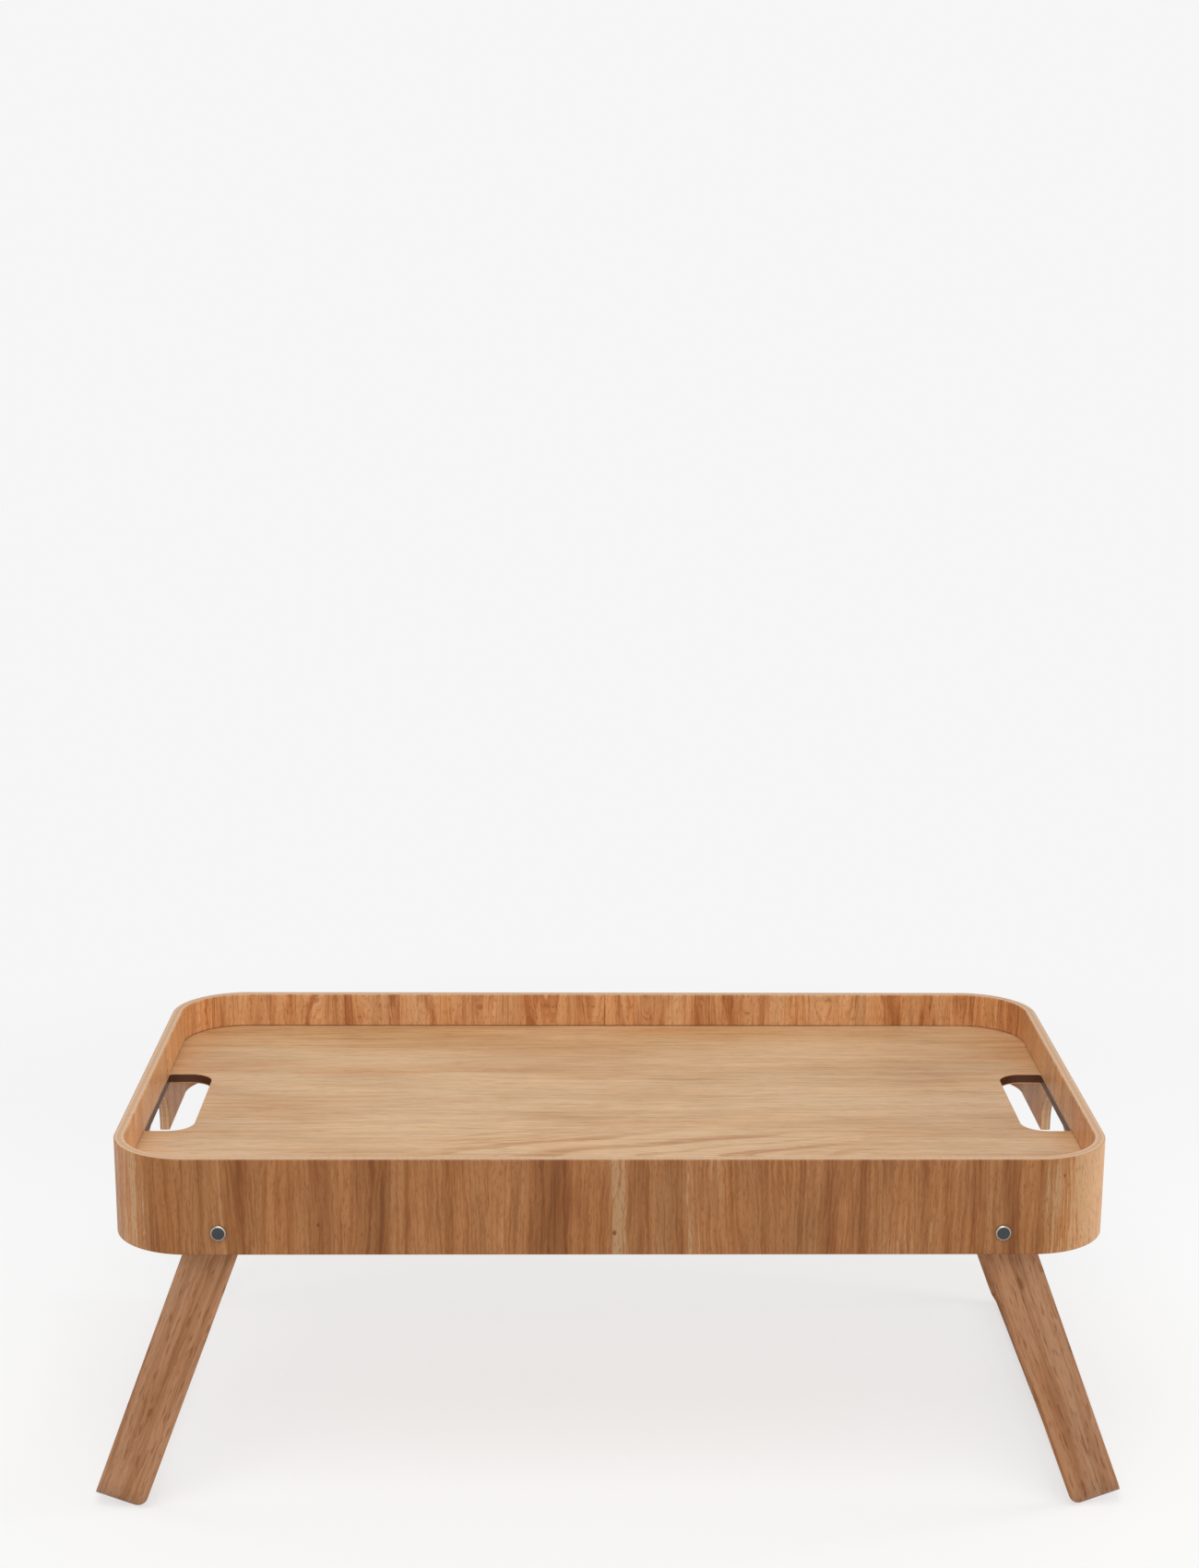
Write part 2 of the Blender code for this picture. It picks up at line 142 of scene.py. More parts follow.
def flat_plate(name, outlines, thickness):
    """A plate cut to flat outlines, centred on its own plane, as a mesh object."""
    data = bpy.data.curves.new(name, "CURVE")
    data.dimensions = "2D"
    data.fill_mode = "BOTH"
    data.extrude = thickness / 2
    for outline in outlines:
        spline = data.splines.new("POLY")
        spline.points.add(len(outline) - 1)
        for point, (x, y) in zip(spline.points, outline):
            point.co = (x, y, 0, 1)
        spline.use_cyclic_u = True
    curve = bpy.data.objects.new(name, data)
    bpy.context.scene.collection.objects.link(curve)
    bpy.context.view_layer.update()
    graph = bpy.context.evaluated_depsgraph_get()
    mesh = bpy.data.meshes.new_from_object(curve.evaluated_get(graph))
    bpy.data.objects.remove(curve, do_unlink=True)
    work = bmesh.new()
    work.from_mesh(mesh)
    bpy.data.meshes.remove(mesh)
    bmesh.ops.remove_doubles(work, verts=work.verts, dist=WELD_DISTANCE)
    bmesh.ops.recalc_face_normals(work, faces=work.faces)
    return new_piece(name, work)


def cylinder(name, radius, length):
    """A cylinder along Y."""
    work = bmesh.new()
    turn = Matrix.Rotation(QUARTER_TURN, 4, "X")
    bmesh.ops.create_cone(
        work,
        cap_ends=True,
        segments=ROUND_STEPS,
        radius1=radius,
        radius2=radius,
        depth=length,
        matrix=turn,
    )
    return new_piece(name, work)


def cut(piece, cutter, operation="DIFFERENCE"):
    """Cut or trim a piece, and keep the cutter until the cuts are applied."""
    modifier = piece.modifiers.new(cutter.name, "BOOLEAN")
    modifier.operation = operation
    modifier.solver = "EXACT"
    modifier.object = cutter


def apply_cuts(piece, cutters, edge_radius):
    """Round a piece's sharp edges, then make its modifiers permanent and drop the cutters."""
    bevel = piece.modifiers.new("edges", "BEVEL")
    bevel.width = edge_radius
    bevel.segments = EDGE_STEPS - 1
    bevel.limit_method = "ANGLE"
    bevel.angle_limit = BEVEL_ANGLE
    bpy.context.view_layer.update()
    graph = bpy.context.evaluated_depsgraph_get()
    mesh = bpy.data.meshes.new_from_object(piece.evaluated_get(graph))
    mesh.transform(piece.matrix_world)
    work = bmesh.new()
    work.from_mesh(mesh)
    # The cuts leave slivers without area
    bmesh.ops.dissolve_degenerate(work, edges=work.edges, dist=SLIVER)
    work.to_mesh(mesh)
    work.free()
    piece.modifiers.clear()
    piece.data = mesh
    piece.matrix_world = Matrix.Identity(4)
    for cutter in cutters:
        bpy.data.objects.remove(cutter, do_unlink=True)


def set_grain(piece, measure):
    """Give each point of a piece its place in the wood: across its grain, along it, and its depth."""
    grain = piece.data.attributes.new("grain", "FLOAT_VECTOR", "POINT")
    for vertex, value in zip(piece.data.vertices, grain.data):
        value.vector = measure(vertex.co)


def smooth(piece):
    """Shade round faces smooth and keep flat ones flat."""
    piece.data.shade_smooth()
    piece.data.set_sharp_from_angle(angle=SHARP_ANGLE)
    weighted = piece.modifiers.new("normals", "WEIGHTED_NORMAL")
    weighted.keep_sharp = True


def dress(piece, material, body, node):
    """Finish a piece that stands for a CAD node."""
    piece.data.materials.clear()
    piece.data.materials.append(material)
    smooth(piece)
    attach(piece, body)
    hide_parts(node)


def rim_section():
    """The rim's cross-section: (inwards from its outer face, height), anticlockwise from the bottom."""
    edge = RIM_EDGE_RADIUS
    inside = RIM_THICKNESS - edge
    groove_low = PANEL_LOW.z - CLEARANCE
    groove_high = PANEL_HIGH.z + GROOVE_GAP
    groove_floor = RIM_THICKNESS - PANEL_SEAT - CLEARANCE
    points = arc((edge, RIM_BOTTOM + edge), edge, 270, 180, EDGE_STEPS)
    points += arc((edge, RIM_TOP - edge), edge, 180, 90, EDGE_STEPS)
    points += arc((inside, RIM_TOP - edge), edge, 90, 0, EDGE_STEPS)
    points += [
        (RIM_THICKNESS, groove_high),
        (groove_floor, groove_high),
        (groove_floor, groove_low),
        (RIM_THICKNESS, groove_low),
    ]
    points += arc((inside, RIM_BOTTOM + edge), edge, 0, -90, EDGE_STEPS)
    return points


def rim_stations():
    """Places round the rim from its joint at the back: a point inside to measure from, and an angle."""
    stations = [((-SEAM_WIDTH / 2, CORNER_Y), 90)]
    corners = (
        (-CORNER_X, CORNER_Y, 90),
        (-CORNER_X, -CORNER_Y, 180),
        (CORNER_X, -CORNER_Y, 270),
        (CORNER_X, CORNER_Y, 360),
    )
    for x, y, start in corners:
        for step in range(CORNER_STEPS + 1):
            stations.append(((x, y), start + 90 * step / CORNER_STEPS))
    stations.append(((SEAM_WIDTH / 2, CORNER_Y), 450))
    return stations


def notch_outline():
    """The notch as seen from the tray's end: (across, height above the rim's bottom)."""
    half = NOTCH_LENGTH / 2
    corner_y = half - NOTCH_CORNER
    corner_z = PANEL_LOW.z - RIM_BOTTOM - NOTCH_CORNER
    points = [(-half, -OVERRUN), (half, -OVERRUN)]
    points += arc((corner_y, corner_z), NOTCH_CORNER, 0, 90)
    points += arc((-corner_y, corner_z), NOTCH_CORNER, 90, 180)
    return points


def rim_grain(place):
    """Distance round the rim from the middle of its front, height, and depth from the outer face."""
    x = abs(place.x)
    y = place.y
    beyond_x = x - CORNER_X
    beyond_y = abs(y) - CORNER_Y
    turned = CORNER_RADIUS * QUARTER_TURN
    if beyond_x <= 0:
        depth = HALF_DEPTH - abs(y)
        walked = x if y < 0 else HALF_ROUND - x
    elif beyond_y <= 0:
        depth = HALF_LENGTH - x
        walked = CORNER_X + turned + CORNER_Y + y
    else:
        depth = CORNER_RADIUS - math.hypot(beyond_x, beyond_y)
        walked = CORNER_X + CORNER_RADIUS * math.atan2(beyond_x, beyond_y)
        if y > 0:
            walked = HALF_ROUND - walked
    return (math.copysign(walked, place.x), place.z - RIM_BOTTOM, depth)


def make_rim(material):
    """The grooved strip bent round the tray, with its two notches and four pivot holes."""
    work = bmesh.new()
    rings = []
    section = rim_section()
    for (x, y), degrees in rim_stations():
        angle = math.radians(degrees)
        ring = []
        for inward, height in section:
            reach = CORNER_RADIUS - inward
            place = (x + reach * math.cos(angle), y + reach * math.sin(angle), height)
            ring.append(work.verts.new(place))
        rings.append(ring)
    for first, second in zip(rings, rings[1:]):
        for index in range(len(section)):
            after = (index + 1) % len(section)
            work.faces.new((first[index], first[after], second[after], second[index]))
    work.faces.new(rings[0])
    work.faces.new(reversed(rings[-1]))
    bmesh.ops.recalc_face_normals(work, faces=work.faces)
    rim = new_piece("oak_rim", work)

    cutters = []
    for side in (-1, 1):
        notch = flat_plate("notch", [notch_outline()], RIM_THICKNESS + 2 * OVERRUN)
        notch.location = (side * (HALF_LENGTH - RIM_THICKNESS / 2), 0, RIM_BOTTOM)
        notch.rotation_euler = (QUARTER_TURN, 0, QUARTER_TURN)
        drill = cylinder("drill", PIVOT_HOLE_RADIUS, 2 * HALF_DEPTH + 2 * OVERRUN)
        drill.location = (side * PIVOT.x, 0, PIVOT.z)
        cutters += [notch, drill]
    for cutter in cutters:
        cut(rim, cutter)
    apply_cuts(rim, cutters, NOTCH_EDGE_RADIUS)
    set_grain(rim, rim_grain)
    dress(rim, material, "tray", "rim_band")


def hand_hole_outline(side):
    """D-shaped hole whose straight side lies in the plane of the short wall's inner face."""
    wall = INNER_HALF_LENGTH
    inner = wall - HAND_HOLE_WIDTH
    half = HAND_HOLE_LENGTH / 2
    big = HAND_HOLE_CORNER
    small = HAND_HOLE_WALL_CORNER
    points = arc((inner + big, big - half), big, 180, 270)
    points += arc((wall - small, small - half), small, 270, 360, EDGE_STEPS)
    points += arc((wall - small, half - small), small, 0, 90, EDGE_STEPS)
    points += arc((inner + big, half - big), big, 90, 180)
    return [(side * x, y) for x, y in points]


def panel_grain(place):
    """Across the tray, along it, and depth below the panel's top."""
    return (place.y, place.x, PANEL_HIGH.z - place.z)


def make_panel(material):
    """The flat panel with its two hand holes."""
    radius = CORNER_RADIUS - RIM_THICKNESS + PANEL_SEAT
    edge = arc((-CORNER_X, -CORNER_Y), radius, 180, 270)
    edge += arc((CORNER_X, -CORNER_Y), radius, 270, 360)
    edge += arc((CORNER_X, CORNER_Y), radius, 0, 90)
    edge += arc((-CORNER_X, CORNER_Y), radius, 90, 180)
    thickness = PANEL_HIGH.z - PANEL_LOW.z
    panel = flat_plate("oak_panel", [edge, hand_hole_outline(-1), hand_hole_outline(1)], thickness)
    panel.location = (0, 0, (PANEL_LOW.z + PANEL_HIGH.z) / 2)
    apply_cuts(panel, [], PANEL_EDGE_RADIUS)
    set_grain(panel, panel_grain)
    dress(panel, material, "tray", "base_panel")


def frame_bend_outline():
    """The U as seen along the tray: (across the tray, along the leg from the pivot)."""
    outer = FRAME_HALF_WIDTH
    inner = outer - LEG_THICKNESS
    top = LEG_TOP + OVERRUN
    inner_radius = BEND_RADIUS - LEG_THICKNESS
    bend_y = outer - BEND_RADIUS
    bend_z = BEND_RADIUS - LEG_REACH
    points = [(-outer, top)]
    points += arc((-bend_y, bend_z), BEND_RADIUS, 180, 270)
    points += arc((bend_y, bend_z), BEND_RADIUS, 270, 360)
    points += [(outer, top), (inner, top)]
    points += arc((bend_y, bend_z), inner_radius, 360, 270)
    points += arc((-bend_y, bend_z), inner_radius, 270, 180)
    points.append((-inner, top))
    return points


def frame_face_outline():
    """A leg as seen from the front: (towards the tray's middle, along the leg)."""
    half = LEG_WIDTH / 2
    lowest = 270 + math.degrees(LEG_SPLAY)
    foot_centre = (half - FOOT_ROUND, FOOT_ROUND - LEG_REACH)
    points = [(-half, -LEG_REACH)]
    points += arc(foot_centre, FOOT_ROUND, 270, lowest, EDGE_STEPS)
    points += arc(foot_centre, FOOT_ROUND, lowest, 360, CORNER_STEPS)[1:]
    points += arc((half - LEG_TOP_ROUND, LEG_TOP - LEG_TOP_ROUND), LEG_TOP_ROUND, 0, 90)
    points.append((-half, LEG_TOP))
    return points


def frame_grain(place):
    """Across the strip, along it from the middle of its crossbar, and depth from its outer face."""
    bend_y = FRAME_HALF_WIDTH - BEND_RADIUS
    bend_z = BEND_RADIUS - LEG_REACH
    y = abs(place.y)
    if y <= bend_y and place.z < bend_z + BEND_RADIUS:
        depth = place.z + LEG_REACH
        walked = y
    elif place.z >= bend_z:
        depth = FRAME_HALF_WIDTH - y
        walked = bend_y + BEND_RADIUS * QUARTER_TURN + place.z - bend_z
    else:
        depth = BEND_RADIUS - math.hypot(y - bend_y, place.z - bend_z)
        walked = bend_y + BEND_RADIUS * math.atan2(y - bend_y, bend_z - place.z)
    return (place.x, math.copysign(walked, place.y), depth)


def make_frames(material):
    """Both leg frames: a strip bent to a U, trimmed to the leg's outline and drilled."""
    for word, turn in (("left", 0), ("right", math.pi)):
        strip = flat_plate(word + "_oak_frame", [frame_bend_outline()], LEG_WIDTH + 2 * OVERRUN)
        strip.rotation_euler = (QUARTER_TURN, 0, QUARTER_TURN)
        trim = flat_plate("trim", [frame_face_outline()], 2 * HALF_DEPTH)
        trim.rotation_euler = (QUARTER_TURN, 0, 0)
        drill = cylinder("drill", PIVOT_HOLE_RADIUS, 2 * HALF_DEPTH)
        cut(strip, trim, "INTERSECT")
        cut(strip, drill)
        apply_cuts(strip, [trim, drill], LEG_EDGE_RADIUS)
        set_grain(strip, frame_grain)
        lean = Matrix.Rotation(turn, 4, "Z") @ Matrix.Rotation(LEG_SPLAY, 4, "Y")
        strip.data.transform(Matrix.Translation(PIVOTS[word + "_frame"]) @ lean)
        dress(strip, material, word + "_frame", word + "_leg_frame")


def head_profile():
    """The post as (radius, height from the rim's outer face), with a rounded chamfer."""
    low = CLEARANCE
    high = low + HEAD_HEIGHT
    face = HEAD_RADIUS - HEAD_CHAMFER
    foot = POST_LOW.y - HALF_DEPTH
    points = [(0, high), (face, high)]
    points += arc((face, high - HEAD_CHAMFER), HEAD_CHAMFER, 75, 15, EDGE_STEPS)
    points += [(HEAD_RADIUS, high - HEAD_CHAMFER), (HEAD_RADIUS, low)]
    points += [(POST_RADIUS, low), (POST_RADIUS, foot), (0, foot)]
    return points


def post_grain(place):
    """Distance from the post's axis, and height from the rim's outer face."""
    return (math.hypot(place.x, place.y), 0, place.z)


def make_posts(material):
    """Turned heads and barrels of the four pivot posts."""
    for facing, depth_word in ((-1, "front"), (1, "rear")):
        for side, side_word in ((-1, "left"), (1, "right")):
            work = bmesh.new()
            profile = [work.verts.new((radius, 0, height)) for radius, height in head_profile()]
            edges = [work.edges.new(pair) for pair in zip(profile, profile[1:])]
            bmesh.ops.spin(
                work,
                geom=profile + edges,
                cent=(0, 0, 0),
                axis=(0, 0, 1),
                angle=math.tau,
                steps=ROUND_STEPS,
            )
            bmesh.ops.remove_doubles(work, verts=work.verts, dist=WELD_DISTANCE)
            bmesh.ops.recalc_face_normals(work, faces=work.faces)
            post = new_piece("_".join((depth_word, side_word, "turned_post")), work)
            set_grain(post, post_grain)
            place = Matrix.Translation((side * PIVOT.x, facing * HALF_DEPTH, PIVOT.z))
            post.data.transform(place @ Matrix.Rotation(-facing * QUARTER_TURN, 4, "X"))
            node = "_".join((depth_word, side_word, "pivot_post"))
            dress(post, material, "tray", node)


# Helpers for node trees, whose values are numbers or output sockets. First the middle of a noise's or
# a ramp's range, and kinds of noise as (detail, roughness).
MIDDLE = 0.5
COARSE_NOISE = (1.0, 0.5)
SOFT_NOISE = (2.0, 0.5)
FINE_NOISE = (2.0, 0.6)
MARKS_NOISE = (3.0, 0.6)


def add_node(tree, kind, **settings):
    """Add a node and set its properties."""
    made = tree.nodes.new(kind)
    for name, value in settings.items():
        setattr(made, name, value)
    return made


def plug(tree, socket, value):
    """Link an output to an input, or write a number into it."""
    if isinstance(value, bpy.types.NodeSocket):
        tree.links.new(value, socket)
    else:
        socket.default_value = value


def calc(tree, operation, first, second=0.0, third=0.0, clamp=False):
    """A Math node."""
    made = add_node(tree, "ShaderNodeMath", operation=operation, use_clamp=clamp)
    for socket, value in zip(made.inputs, (first, second, third)):
        plug(tree, socket, value)
    return made.outputs[0]


def centred(tree, value):
    """A noise's value less its middle."""
    return calc(tree, "SUBTRACT", value, MIDDLE)


def varied(tree, value, share, level=1.0):
    """A noise turned to a factor that varies by a share about a level."""
    return calc(tree, "MULTIPLY_ADD", value, share * level, (1 - share * MIDDLE) * level)


def combine(tree, x, y, z=0.0):
    """A vector, or a colour, of three numbers."""
    made = add_node(tree, "ShaderNodeCombineXYZ")
    for socket, value in zip(made.inputs, (x, y, z)):
        plug(tree, socket, value)
    return made.outputs[0]


def noise(tree, vector, kind=SOFT_NOISE):
    """Noise about its middle, one feature to a unit of the vector."""
    made = add_node(tree, "ShaderNodeTexNoise")
    plug(tree, made.inputs["Vector"], vector)
    made.inputs["Scale"].default_value = 1.0
    made.inputs["Detail"].default_value, made.inputs["Roughness"].default_value = kind
    return made.outputs[0]


def grain_noise(tree, across, along, width, run, layer, kind=SOFT_NOISE):
    """Noise whose features have one size across the grain and another along it."""
    place = combine(tree, calc(tree, "DIVIDE", across, width), calc(tree, "DIVIDE", along, run), layer)
    return noise(tree, place, kind)


def ramp(tree, factor, stops, interpolation="LINEAR"):
    """A ramp of (position, grey or colour)."""
    made = add_node(tree, "ShaderNodeValToRGB")
    made.color_ramp.interpolation = interpolation
    elements = made.color_ramp.elements
    while len(elements) < len(stops):
        elements.new(MIDDLE)
    for element, (position, colour) in zip(elements, stops):
        element.position = position
        element.color = (*colour, 1.0) if isinstance(colour, tuple) else (colour, colour, colour, 1.0)
    plug(tree, made.inputs[0], factor)
    return made.outputs[0]


def mix(tree, factor, first, second, blend="MIX"):
    """Mix two colours."""
    made = add_node(tree, "ShaderNodeMix", data_type="RGBA", blend_type=blend)
    plug(tree, made.inputs[0], factor)
    for socket, value in ((made.inputs[6], first), (made.inputs[7], second)):
        plug(tree, socket, value if isinstance(value, bpy.types.NodeSocket) else (*value, 1.0))
    return made.outputs[2]


def spread(tree, value, low, high):
    """Spread the values between two limits over 0 to 1, or over 1 to 0 if the first is larger."""
    made = add_node(tree, "ShaderNodeMapRange", interpolation_type="SMOOTHSTEP")
    plug(tree, made.inputs["Value"], value)
    made.inputs["From Min"].default_value = low
    made.inputs["From Max"].default_value = high
    return made.outputs[0]


def read_grain(tree):
    """A piece's grain coordinates, as set_grain wrote them."""
    grain = add_node(tree, "ShaderNodeAttribute", attribute_name="grain")
    split = add_node(tree, "ShaderNodeSeparateXYZ")
    tree.links.new(grain.outputs["Vector"], split.inputs[0])
    return split.outputs


def new_material(name):
    """A node material with nothing but its shader and output."""
    material = bpy.data.materials.new(name)
    material.use_nodes = True
    return material, material.node_tree, material.node_tree.nodes["Principled BSDF"]


# Oak's colours in linear light, from its palest wood to its darkest. A palette of four leaves out the
# first of the steps in darkness that they lie at.
OUTER_OAK = (
    (0.465, 0.255, 0.118),
    (0.425, 0.186, 0.066),
    (0.355, 0.141, 0.040),
    (0.262, 0.087, 0.017),
    (0.185, 0.052, 0.006),
)
# The rim's inner face is the same veneer as its outer face. Its palette is painted paler: painted light
# for the warm light that bounces onto it off the panel
INNER_OAK_PAINTED_PALER = ((0.695, 0.374, 0.174), (0.61, 0.292, 0.117), (0.435, 0.166, 0.053), (0.30, 0.092, 0.023))
PANEL_OAK = ((0.725, 0.468, 0.255), (0.645, 0.388, 0.194), (0.53, 0.275, 0.109), (0.40, 0.175, 0.053))
LEG_OAK = ((0.47, 0.245, 0.128), (0.39, 0.182, 0.084), (0.285, 0.117, 0.044), (0.18, 0.064, 0.018))
TONE_STEP_SHARES = (0.0, 0.06, 0.32, 0.68, 1.0)
# The plywood's edges: colours of its layers, of the glue between them and of the panel's dark
# edge; the face veneer's thickness and the share of it that looks like the face; how many layers
# lie within, how thick the glue is, and how the saw marked them
PLY_PALE = (0.69, 0.435, 0.252)
PLY_DARK = (0.60, 0.350, 0.186)
GLUE_LINE = (0.40, 0.205, 0.100)
DARK_PANEL_EDGE = (0.085, 0.027, 0.008)
VENEER = 0.6 * MM
FACE_SHARE = 0.9
CORE_LAYERS = 3
GLUE_HALF_WIDTH = 0.07 * MM
SAW_MARK = 3 * MM
SAW_SHARE = 0.36

# How each veneer's figure runs: how wide and how long its bands, streaks, lines and pores are, and
# how far the grain wanders and waves
RIM_FIGURE = {
    "band": 30 * MM,
    "streak": 5.5 * MM,
    "line": 1.5 * MM,
    "run": 170 * MM,
    "wander": 5 * MM,
    "line_run": 45 * MM,
    "pore": 0.7 * MM,
    "pore_run": 4.5 * MM,
    "wave": 2.8 * MM,
    "wave_run": 15 * MM,
}
PANEL_FIGURE = {
    "band": 42 * MM,
    "streak": 9 * MM,
    "line": 2.0 * MM,
    "run": 170 * MM,
    "wander": 7 * MM,
    "line_run": 62 * MM,
    "pore": 0.8 * MM,
    "pore_run": 12 * MM,
    "wave": 1.4 * MM,
    "wave_run": 22 * MM,
}
LEG_FIGURE = {
    "band": 16 * MM,
    "streak": 4.2 * MM,
    "line": 1.6 * MM,
    "run": 150 * MM,
    "wander": 3 * MM,
    "line_run": 75 * MM,
    "pore": 0.55 * MM,
    "pore_run": 9 * MM,
    "wave": 1.6 * MM,
    "wave_run": 18 * MM,
}
# How far the grain leans on the outer and the inner face, the weights of the figure in the wood's
# darkness, how much its hue changes, how light its plywood edge is (below one it is painted shade)
# and how much it shines, as shares
RIM_SHARES = {
    "lean": 0.3,
    "inner_lean": 0.8,
    "band": 0.20,
    "streak": 0.22,
    "line": 0.31,
    "pore": 0.44,
    "dash": 0.12,
    "hue": 1.0,
    "ply_level_with_painted_shade": 1.0,
    "sheen": 0.36,
}
PANEL_SHARES = {
    "lean": 0.03,
    "inner_lean": 0.03,
    "band": 0.33,
    "streak": 0.12,
    "line": 0.28,
    "pore": 0.32,
    "dash": 0.14,
    "hue": 0.6,
    "sheen": 0.35,
}
LEG_SHARES = {
    "lean": 0.05,
    "inner_lean": 0.05,
    "band": 0.14,
    "streak": 0.26,
    "line": 0.22,
    "pore": 0.32,
    "dash": 0.40,
    "hue": 1.0,
    # The legs' plywood edges are darkened: painted shade
    "ply_level_with_painted_shade": 0.82,
    "sheen": 0.25,
}
# Where each veneer lies in the noise, and how far its inner face's figure is from its outer face's
RIM_SEED = 2.0
PANEL_SEED = 5.0
LEG_SEED = 9.0
FACE_SEED = 5.3
LEAN_SEED = 4.0
# What all veneers share: the sizes of waves, of short dark dashes of open grain, of changes of hue
# and of mottle, then how much the mottle changes the light, and the hue the red and the blue
WAVE_WIDTH = 5 * MM
DASH_WIDTH = 1.5 * MM
DASH_LENGTH = 13 * MM
HUE_WIDTH = 19 * MM
MOTTLE_WIDTH = 12 * MM
MOTTLE_RUN = 26 * MM
MOTTLE_SHARE = 0.18
WARM_SHARE = 0.24
COOL_SHARE = -0.30
# Between which values of its noise each part of the figure sets in
BAND_SHARES = (0.3, 0.7)
STREAK_SHARES = (0.46, 0.66)
LINE_SHARES = (0.42, 0.64)
DASH_SHARES = (0.60, 0.70)
PORE_SHARES = (0.50, 0.70)
# The lacquer: how rough it is, how much rougher over the pores, how deep they are, and how much of
# that shows
LACQUER_ROUGHNESS = 0.40
PORE_ROUGHNESS = 0.14
PORE_DEPTH = 0.1 * MM
BUMP_SHARE = 0.2

# Bands of darker or paler wood that show on the rim's long sides, and at the corners broad bands of
# painted light on the front and painted shade at the back, in several tables for each side:
# millimetres from the middle of the side, half width in millimetres, and darkness as a share
FRONT_BANDS_AND_PAINTED_CORNER_LIGHT = (
    ((-269, 12, 0.20), (-220, 8, 0.36), (-170, 5, 0.20), (-139, 8, 0.24), (-121, 4, 0.20)),
    ((-95, 7, 0.10), (-37, 15, 0.36), (3, 5, -0.22), (15, 9, 0.24), (38, 7, 0.26), (88, 26, 0.04)),
    ((130, 7, 0.40), (150, 3, 0.22), (185, 5, 0.20), (198, 3, 0.18), (217, 4, 0.22)),
    ((237, 7, 0.36), (253, 4, 0.24)),
    # Broad paler bands over both front corners: painted light, stronger on the right corner
    ((-302, 34, -0.24), (297, 38, -0.44)),
)
BACK_BANDS_AND_PAINTED_CORNER_SHADE = (
    ((-288, 5, 0.20), (-239, 5, 0.34), (-224, 4, 0.26), (-206, 4, 0.36), (-183, 5, 0.22)),
    ((-150, 5, 0.36), (-128, 5, 0.28), (-53, 7, 0.26), (-16, 7, 0.22), (9, 4, 0.26)),
    ((29, 4, 0.22), (42, 6, 0.30), (68, 7, 0.34), (90, 7, 0.26), (115, 6, 0.24)),
    ((180, 4, 0.18), (203, 4, 0.24), (231, 5, 0.34), (257, 9, 0.26)),
    # Broad darker bands in both inner back corners: painted shade
    ((-294, 34, 0.16), (294, 38, 0.22)),
)
# How far along a side they may lie, how far those at the back lean and change their lean, how both
# sway, and where in the noise the sway and the slants are read
BAND_REACH = 340 * MM
BACK_SLANT = 3.4
SLANT_WIDTH = 40 * MM
SLANT_SEEDS = (2.0, 11.0)
SWAY_WIDTH = 11 * MM
SWAY_RUN = 26 * MM
SWAY_REACH = 7 * MM
SWAY_SEED = 7.0
# The rim's joint: half its width with its shaded edges, half its dark middle, and its darkness
SEAM_SHADE = 0.9 * MM
SEAM_DARK = 0.3 * MM
SEAM_SHARE = 0.4
# Small knots on the rim's front: millimetres from the middle and above the bottom, and radius; then
# how much wider a knot is than its dark heart, and its width as a share of its height
FRONT_KNOTS = ((1.5, 14.0, 1.5), (-174, 19.0, 1.1), (269, 49.0, 1.0))
KNOT_TO_HEART = 3
KNOT_WIDTH_SHARE = 0.7

# The panel's flame figure, nested arches that open to the right: where it starts and ends along the
# tray, its middle across it, how far apart the arches lie, how long they are to their width, how
# blunt their tips are, how far across they reach, how dark they are, as a share, and between which
# values of their noise they set in
FLAME_START = -130 * MM
FLAME_END = 190 * MM
FLAME_ACROSS = -104 * MM
FLAME_RING = 28 * MM
FLAME_SLOPE = 4
FLAME_TIP = 5 * MM
FLAME_REACH = 56 * MM
FLAME_SHARE = 0.56
FLAME_RING_SHARES = (0.46, 0.64)
# How the arches bend: the size of the bends across and along the tray, how far they go, and where
# in the noise they and the arches are read
FLAME_BEND_WIDTH = 22 * MM
FLAME_BEND_RUN = 60 * MM
FLAME_BEND = 16 * MM
FLAME_BEND_SEED = 3.0
FLAME_RING_SEED = 1.7


def ply_layers(tree, depth, thickness):
    """Colour of the five layers across a plywood edge, by depth from its face."""
    core = (thickness - 2 * VENEER) / CORE_LAYERS
    edges = (VENEER, VENEER + core, VENEER + 2 * core, thickness - VENEER)
    stops = []
    for edge, fill in zip(edges, (PLY_PALE, PLY_DARK, PLY_PALE, PLY_PALE)):
        stops.append(((edge - GLUE_HALF_WIDTH) / thickness, GLUE_LINE))
        stops.append(((edge + GLUE_HALF_WIDTH) / thickness, fill))
    return ramp(tree, calc(tree, "DIVIDE", depth, thickness), stops, "CONSTANT")


def band_mask(tree, place, tables):
    """Darkness of listed bands by distance along a side of the rim."""
    share = calc(tree, "MULTIPLY_ADD", place, MIDDLE / BAND_REACH, MIDDLE)
    scale = MIDDLE * MM / BAND_REACH
    total = 0.0
    for bands in tables:
        stops = [(0.0, MIDDLE)]
        for middle, half, dark in bands:
            centre = MIDDLE + middle * scale
            edge = half * scale
            tone = MIDDLE + dark / 2
            stops += [(centre - edge, MIDDLE), (centre - edge / 2, tone)]
            stops += [(centre + edge / 2, tone), (centre + edge, MIDDLE)]
        # A ramp holds no negative grey, so its middle stands for none
        darkness = calc(tree, "MULTIPLY_ADD", ramp(tree, share, stops), 2.0, -1.0)
        total = calc(tree, "ADD", total, darkness)
    return total


